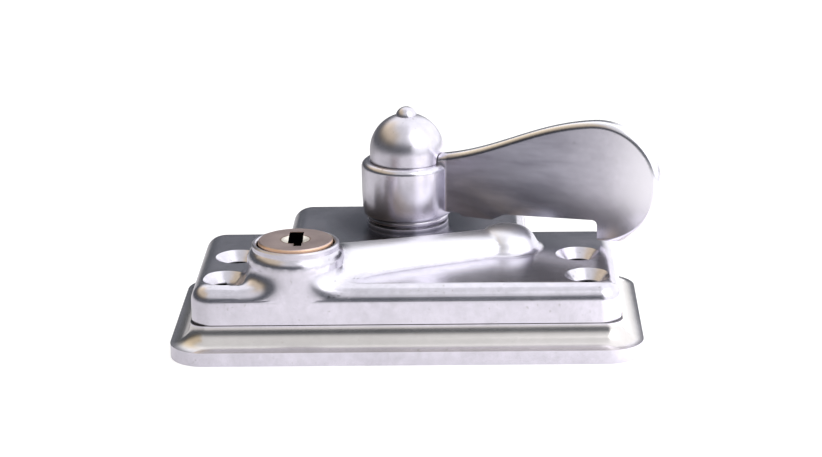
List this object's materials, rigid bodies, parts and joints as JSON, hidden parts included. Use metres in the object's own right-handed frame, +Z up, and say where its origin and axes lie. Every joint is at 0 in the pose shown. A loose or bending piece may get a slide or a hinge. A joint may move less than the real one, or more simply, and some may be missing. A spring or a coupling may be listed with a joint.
{
  "type": "sash pivot lock",
  "caption": "Keyed sash window lock: a cast case on a coved base plate with a swinging hooked arm, a domed hub and a key cylinder.",
  "frame": {"origin": "centre of the long rectangle of the base plate, on its flat underside", "axes": "+X to the right along the plate, +Y to the back towards the pivot and the keep, +Z up out of the sash rail"},
  "size_m": [0.0918, 0.0631, 0.0377],
  "materials": {
    "satin_zinc": "fine satin chrome on a zinc casting",
    "bright_nickel": "warm satin nickel",
    "steel": "plain machined steel",
    "brass": "plain machined brass"
  },
  "bodies": {
    "case": {"base_plate": "satin_zinc", "lock_body": "satin_zinc", "case_screws": "steel", "thrust_washer": "satin_zinc", "stop_pin": "steel", "cylinder_shell": "brass", "cylinder_circlip": "steel", "lever_pin": "steel", "wave_washer": "steel"},
    "arm": {"pivot_arm": "satin_zinc", "dome_cap": "satin_zinc", "pivot_spindle": "satin_zinc", "locking_cam": "steel", "spindle_circlip": "steel"},
    "plug": {"key_plug": "bright_nickel", "wafer_1": "brass", "wafer_2": "brass", "wafer_3": "brass", "wafer_4": "brass", "plug_cam": "steel", "cam_screw": "steel"},
    "lever": {"locking_lever": "steel"}
  },
  "joints": [
    {"name": "arm_turn", "type": "hinge", "parent": "case", "child": "arm", "pos_m": [-0.0005, 0.0229, 0.01355], "axis": [0, 0, 1], "range_deg": [0, 112]},
    {"name": "plug_turn", "type": "hinge", "parent": "case", "child": "plug", "pos_m": [-0.0204, -0.0092, 0.01355], "axis": [0, 0, -1], "range_deg": [0, 90]},
    {"name": "lever_swing", "type": "hinge", "parent": "case", "child": "lever", "pos_m": [0.0187, 0.0063, 0.0052], "axis": [0, 0, -1], "range_deg": [0, 5.6]}
  ],
  "couplings": [
    {"joint": "lever_swing", "follows": "plug_turn", "ratio": 0.061086}
  ]
}
